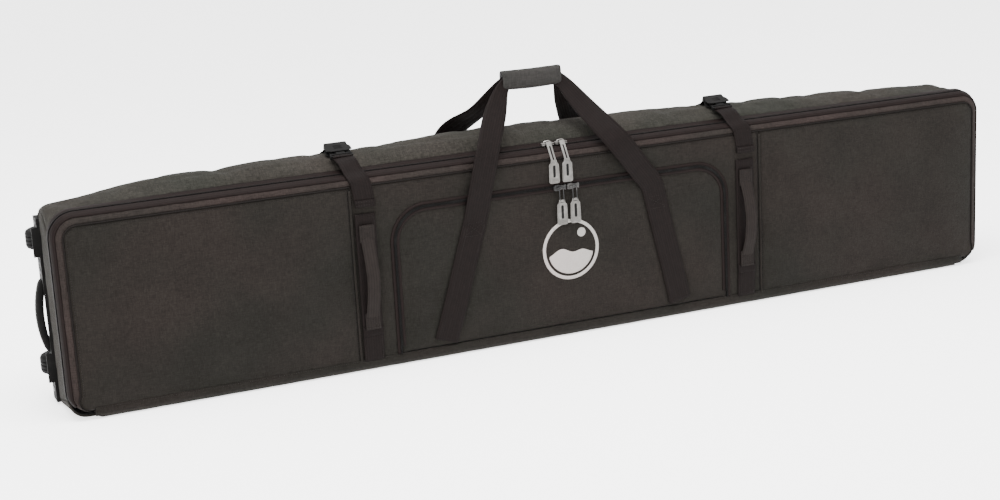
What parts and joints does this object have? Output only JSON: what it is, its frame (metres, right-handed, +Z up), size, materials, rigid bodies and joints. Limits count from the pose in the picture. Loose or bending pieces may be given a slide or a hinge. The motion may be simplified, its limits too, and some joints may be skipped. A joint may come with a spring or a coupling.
{
  "type": "ski bag",
  "caption": "Long padded wheeled ski bag standing on its side, with a zipped lid, an arched front pocket, carry handles, compression straps and buckles.",
  "frame": {"origin": "middle of the underside, on the surface the bag stands on", "axes": "+X along the bag away from the wheels, -Y out of the lid, +Z up"},
  "size_m": [2.0022, 0.222, 0.527],
  "materials": {
    "shell_fabric": "heathered woven polyester",
    "lid_fabric": "heathered woven polyester",
    "lining": "plain woven polyester",
    "stiffener": "smooth sheet",
    "stay": "satin",
    "zip_tape": "woven tape and nylon coil",
    "piping": "woven binding",
    "webbing": "ribbed polypropylene webbing",
    "grip_fabric": "padded woven wrap",
    "handle_rubber": "matt moulded",
    "black_plastic": "fine moulded texture",
    "tyre": "cast polyurethane",
    "hub_plastic": "moulded",
    "steel": "zinc plated",
    "slider_metal": "gunmetal",
    "pull_plastic": "soft moulded",
    "emblem_print": "raised print"
  },
  "bodies": {
    "bag_body": {"back_panel": "shell_fabric", "back_board": "stiffener", "stiffener_stays": "stay", "bottom_gusset": "shell_fabric", "top_gusset": "shell_fabric", "wheel_end_panel": "shell_fabric", "tow_end_panel": "shell_fabric", "body_zip": "zip_tape", "edge_piping": "piping", "wheel_carrier": "black_plastic", "wheel_axles": "steel", "carrier_screws": "steel", "end_handle": "handle_rubber", "tow_handle": "webbing", "rear_carry_webbing": "webbing", "rear_straps": "webbing", "buckle_socket_left": "black_plastic", "buckle_socket_right": "black_plastic", "tie_straps": "webbing", "tie_buckles": "black_plastic"},
    "lid": {"lid_panel_left": "lid_fabric", "lid_panel_centre": "lid_fabric", "lid_panel_right": "lid_fabric", "lid_gusset": "lid_fabric", "lid_zip": "zip_tape", "lid_piping": "piping", "hinge_piping": "piping", "pocket_pouch": "lining", "pocket_zip_lid": "zip_tape", "compression_webbing": "webbing", "grab_grip_left": "webbing", "grab_grip_right": "webbing", "front_straps": "webbing", "buckle_plug_left": "black_plastic", "buckle_plug_right": "black_plastic"},
    "pocket_flap": {"pocket_flap": "lid_fabric", "pocket_zip_flap": "zip_tape", "carry_webbing": "webbing", "emblem": "emblem_print"},
    "front_handle": {"front_handle": "webbing"},
    "rear_handle": {"rear_handle": "webbing", "grip_wrap": "grip_fabric"},
    "wheel_upper": {"tyre_upper": "tyre", "hub_upper": "hub_plastic", "bearings_upper": "steel"},
    "wheel_lower": {"tyre_lower": "tyre", "hub_lower": "hub_plastic", "bearings_lower": "steel"},
    "main_slider_left": {"main_slider_left": "slider_metal"},
    "main_pull_left": {"main_pull_left": "pull_plastic"},
    "main_slider_right": {"main_slider_right": "slider_metal"},
    "main_pull_right": {"main_pull_right": "pull_plastic"},
    "pocket_slider_left": {"pocket_slider_left": "slider_metal"},
    "pocket_pull_left": {"pocket_pull_left": "pull_plastic"},
    "pocket_slider_right": {"pocket_slider_right": "slider_metal"},
    "pocket_pull_right": {"pocket_pull_right": "pull_plastic"},
    "prong_left_outer": {"buckle_prong_left_outer": "black_plastic"},
    "prong_left_inner": {"buckle_prong_left_inner": "black_plastic"},
    "prong_right_outer": {"buckle_prong_right_outer": "black_plastic"},
    "prong_right_inner": {"buckle_prong_right_inner": "black_plastic"}
  },
  "joints": [
    {"name": "lid_hinge", "type": "hinge", "parent": "bag_body", "child": "lid", "pos_m": [0, -0.077, 0.016], "axis": [1, 0, 0], "range_deg": [0, 80]},
    {"name": "pocket_hinge", "type": "hinge", "parent": "lid", "child": "pocket_flap", "pos_m": [0, -0.0785, 0.024], "axis": [1, 0, 0], "range_deg": [0, 60]},
    {"name": "front_handle_swing", "type": "hinge", "parent": "pocket_flap", "child": "front_handle", "pos_m": [0, -0.0822, 0.2505], "axis": [1, 0, 0], "range_deg": [0, 150]},
    {"name": "rear_handle_swing", "type": "hinge", "parent": "bag_body", "child": "rear_handle", "pos_m": [0, 0.0822, 0.2505], "axis": [1, 0, 0], "range_deg": [-150, 0]},
    {"name": "wheel_upper_spin", "type": "hinge", "parent": "bag_body", "child": "wheel_upper", "pos_m": [-0.967, 0.082, 0.307], "axis": [0, 0, 1], "continuous": true},
    {"name": "wheel_lower_spin", "type": "hinge", "parent": "bag_body", "child": "wheel_lower", "pos_m": [-0.967, 0.082, 0.071], "axis": [0, 0, 1], "continuous": true},
    {"name": "main_slider_left_run", "type": "slide", "parent": "lid", "child": "main_slider_left", "axis": [1, 0, 0], "range_m": [-0.33, 0]},
    {"name": "main_pull_left_swing", "type": "hinge", "parent": "main_slider_left", "child": "main_pull_left", "pos_m": [-0.022, -0.0635, 0.3865], "axis": [-1, 0, 0], "range_deg": [0, 110]},
    {"name": "main_slider_right_run", "type": "slide", "parent": "lid", "child": "main_slider_right", "axis": [1, 0, 0], "range_m": [0, 0.33]},
    {"name": "main_pull_right_swing", "type": "hinge", "parent": "main_slider_right", "child": "main_pull_right", "pos_m": [0.006, -0.0635, 0.3865], "axis": [-1, 0, 0], "range_deg": [0, 110]},
    {"name": "pocket_slider_left_run", "type": "slide", "parent": "pocket_flap", "child": "pocket_slider_left", "axis": [1, 0, 0], "range_m": [-0.1, 0]},
    {"name": "pocket_pull_left_swing", "type": "hinge", "parent": "pocket_slider_left", "child": "pocket_pull_left", "pos_m": [-0.012, -0.0906, 0.302], "axis": [-1, 0, 0], "range_deg": [0, 140]},
    {"name": "pocket_slider_right_run", "type": "slide", "parent": "pocket_flap", "child": "pocket_slider_right", "axis": [1, 0, 0], "range_m": [0, 0.1]},
    {"name": "pocket_pull_right_swing", "type": "hinge", "parent": "pocket_slider_right", "child": "pocket_pull_right", "pos_m": [0.016, -0.0906, 0.302], "axis": [-1, 0, 0], "range_deg": [0, 140]},
    {"name": "prong_left_outer_press", "type": "slide", "parent": "lid", "child": "prong_left_outer", "axis": [1, 0, 0], "range_m": [0, 0.002], "stiffness_N_per_m": 900},
    {"name": "prong_left_inner_press", "type": "slide", "parent": "lid", "child": "prong_left_inner", "axis": [-1, 0, 0], "range_m": [0, 0.002], "stiffness_N_per_m": 900},
    {"name": "prong_right_outer_press", "type": "slide", "parent": "lid", "child": "prong_right_outer", "axis": [1, 0, 0], "range_m": [0, 0.002], "stiffness_N_per_m": 900},
    {"name": "prong_right_inner_press", "type": "slide", "parent": "lid", "child": "prong_right_inner", "axis": [-1, 0, 0], "range_m": [0, 0.002], "stiffness_N_per_m": 900}
  ]
}
